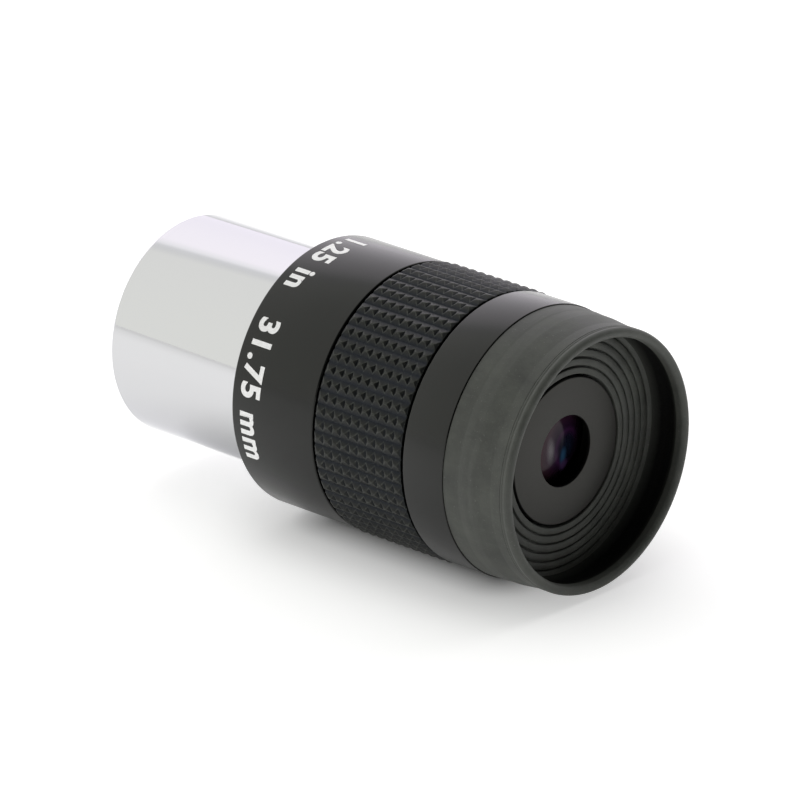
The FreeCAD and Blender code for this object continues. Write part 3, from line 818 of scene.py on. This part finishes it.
def lenses():
    """Every lens between its back and its front face, at the places that the frame gives."""
    eye_back, eye_front, _ = span("eye_lens")
    middle_back, middle_front, _ = span("middle_lens")
    flint_back = span("doublet_flint")[0]
    crown_back, crown_front, _ = span("doublet_crown")
    field_cement, field_front, _ = span("field_lens_crown")
    field_vertex = field_cement - FIELD_FLINT
    pairs = (
        ("eye_lens", (eye_back, 40.0, 1), (eye_front, 18.0, -1), LENS_EDGE),
        ("middle_lens", (middle_back, 30.0, 1), (middle_front, 25.0, -1), LENS_EDGE),
        ("doublet_crown", (crown_back, 16.0, 1), (crown_front, 20.0, -1), LENS_EDGE),
        ("doublet_flint", (flint_back,), (crown_back - CEMENT_GAP, 16.0, 1), LENS_EDGE),
        ("field_lens_crown", (field_cement, 30.0, 1), (field_front,), FIELD_EDGE),
        ("field_lens_flint", (field_vertex, 28.0, -1), (field_cement - CEMENT_GAP, 30.0, 1),
         FIELD_EDGE),
    )
    for node, back, front, edge in pairs:
        own_slot = "coated_eye_glass" if node == "eye_lens" else "optical_glass"
        glass = EYE_GLASS if node == "eye_lens" else INNER_GLASS
        made = lens(f"{node}_glass", back, front, edge, own_slot, glass)
        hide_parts(node)


lenses()


def hidden_pieces():
    """Paint the pieces that keep their CAD shape: they show only in the barrel or through the glass."""
    for node in ("field_cell", "field_cell_ring", "field_stop", "lens_tube", "tube_lock_ring",
                 "rear_spacer", "front_spacer"):
        piece = frame["nodes"][node]
        piece.data.materials.clear()
        piece.data.materials.append(INNER_BLACK)


hidden_pieces()

# ---- floor, light and camera ---------------------------------------------------------------------

FLOOR_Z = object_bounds()[0].z
FLOOR_SIZE = 3.0
FOOTPRINT_LOW, FOOTPRINT_HIGH = (0.007, -0.004, 0), (0.036, 0.012, 0)

# The floor's glow, a painted light, by the distance in metres from the footprint under the object. Its fall
# towards the footprint is a painted shadow.
GLOW_SEEN = ((0.0, 0.0), (0.004, 0.20), (0.0055, 0.29), (0.0075, 0.37), (0.0105, 0.43),
             (0.0135, 0.47), (0.0165, 0.52), (0.020, 0.545), (0.0245, 0.545), (0.040, 0.51),
             (0.19, 0.51), (0.32, 0.46), (0.80, 0.34))
GLOW_CAST = ((0.0, 0.0), (0.004, 0.10), (0.0075, 0.20), (0.0135, 0.27), (0.020, 0.34),
             (0.030, 0.46), (0.045, 0.55), (0.080, 0.58), (0.19, 0.58), (0.32, 0.50), (0.80, 0.36))

# The tent's colour, by the cosine of the angle from TENT_AIM, which points behind the object.
TENT_AIM = (-0.633, 0.754, 0.174)
TENT = ((0.0, (0.70, 0.703, 0.675)), (0.61, (0.69, 0.69, 0.67)), (0.67, (0.62, 0.62, 0.62)),
        (0.705, (0.63, 0.63, 0.64)), (0.735, (0.81, 0.80, 0.82)), (0.79, (0.93, 0.89, 0.94)),
        (1.0, (0.94, 0.90, 0.96)))
TENT_STRENGTH = 1.6

ROOM_AZIMUTH, ROOM_ELEVATION = math.radians(75), math.radians(15)
ROOM_DARK = 0.01

LAMP_PLACE, LAMP_SIZE, LAMP_POWER = Vector((-0.3, 0.5, 1.9)), 2.4, 9.0

CAMERA_AZIMUTH, CAMERA_ELEVATION = math.radians(42.66), math.radians(21.78)
CAMERA_AIM = Vector((8.47, 5.74, -3.93)) * MM
CAMERA_DISTANCE, CAMERA_LENS = 1.1055, 355.36


def direction(azimuth, elevation):
    """The way to something seen from the object. Azimuth 0 is -Y and 90 degrees is +X."""
    return Vector((math.sin(azimuth) * math.cos(elevation), -math.cos(azimuth) * math.cos(elevation),
                   math.sin(elevation)))


def floor():
    """A plain pale floor that glows like a light table as painted light, dimmer under and beside the object
    as a painted shadow.

    Within 4 cm of the footprint the camera sees more of the glow than lights the object, nearly twice
    as much beside it. Further off it sees a little less.
    """
    mesh = bpy.data.meshes.new("floor")
    corners = [(x * FLOOR_SIZE, y * FLOOR_SIZE, FLOOR_Z) for x, y in ((-1, -1), (1, -1), (1, 1), (-1, 1))]
    mesh.from_pydata(corners, [], [(0, 1, 2, 3)])
    surface = Surface("floor_white", grey(0.75), 0.85, Specular_IOR_Level=0.1,
                      Emission_Color=(*grey(1.0), 1.0))
    across = surface.place((1, 1, 0))
    raised = surface.vector_math("MAXIMUM", across, FOOTPRINT_LOW).outputs["Vector"]
    nearest = surface.vector_math("MINIMUM", raised, FOOTPRINT_HIGH).outputs["Vector"]
    gap = surface.vector_math("DISTANCE", across, nearest).outputs["Value"]
    glow = surface.mix(surface.from_camera(), surface.levels(gap, *GLOW_CAST),
                       surface.levels(gap, *GLOW_SEEN))
    surface.drive(Emission_Strength=glow)
    mesh.materials.append(surface.material)
    plane = bpy.data.objects.new("floor", mesh)
    bpy.context.scene.collection.objects.link(plane)


def world():
    """A light tent, a little violet behind the object, open to a dark room on the eye lens's side."""
    scene_world = bpy.data.worlds.new("light_tent")
    bpy.context.scene.world = scene_world
    scene_world.use_nodes = True
    sky = Nodes(scene_world.node_tree)

    def towards(aim):
        return sky.vector_math("DOT_PRODUCT", sky.coordinates.outputs["Generated"], aim).outputs["Value"]

    opening = sky.levels(towards(direction(ROOM_AZIMUTH, ROOM_ELEVATION)), (0.15, 0.0), (0.5, 0.97))
    height = sky.levels(towards((0, 0, 1)), (0.0, 0.0), (0.06, 1.0))
    unseen = sky.number_math("SUBTRACT", 1.0, sky.from_camera())
    shade = sky.number_math("MULTIPLY", sky.number_math("MULTIPLY", opening, height), unseen)
    background = sky.tree.nodes["Background"]
    background.inputs["Strength"].default_value = TENT_STRENGTH
    sky.feed(sky.mix(shade, sky.ramp(towards(TENT_AIM), *TENT), grey(ROOM_DARK)),
             background.inputs["Color"])


def overhead():
    """A large soft light above, which whitens the floor and leaves the reflections to the tent."""
    lamp = bpy.data.lights.new("overhead", "AREA")
    lamp.shape = "DISK"
    lamp.size = LAMP_SIZE
    lamp.energy = LAMP_POWER
    light = bpy.data.objects.new("overhead", lamp)
    light.location = LAMP_PLACE
    light.rotation_euler = (-LAMP_PLACE).to_track_quat("-Z", "Y").to_euler()
    light.visible_glossy = False
    bpy.context.scene.collection.objects.link(light)


def camera():
    """A long lens looking down at the eye end from the left."""
    back = direction(CAMERA_AZIMUTH, CAMERA_ELEVATION)
    data = bpy.data.cameras.new("camera")
    data.lens = CAMERA_LENS
    data.clip_start, data.clip_end = 0.05, 20.0
    view = bpy.data.objects.new("camera", data)
    view.location = CAMERA_AIM + back * CAMERA_DISTANCE
    view.rotation_euler = (-back).to_track_quat("-Z", "Y").to_euler()
    bpy.context.scene.collection.objects.link(view)
    bpy.context.scene.camera = view


floor()
world()
overhead()
camera()
bpy.context.scene.view_settings.view_transform = "Standard"
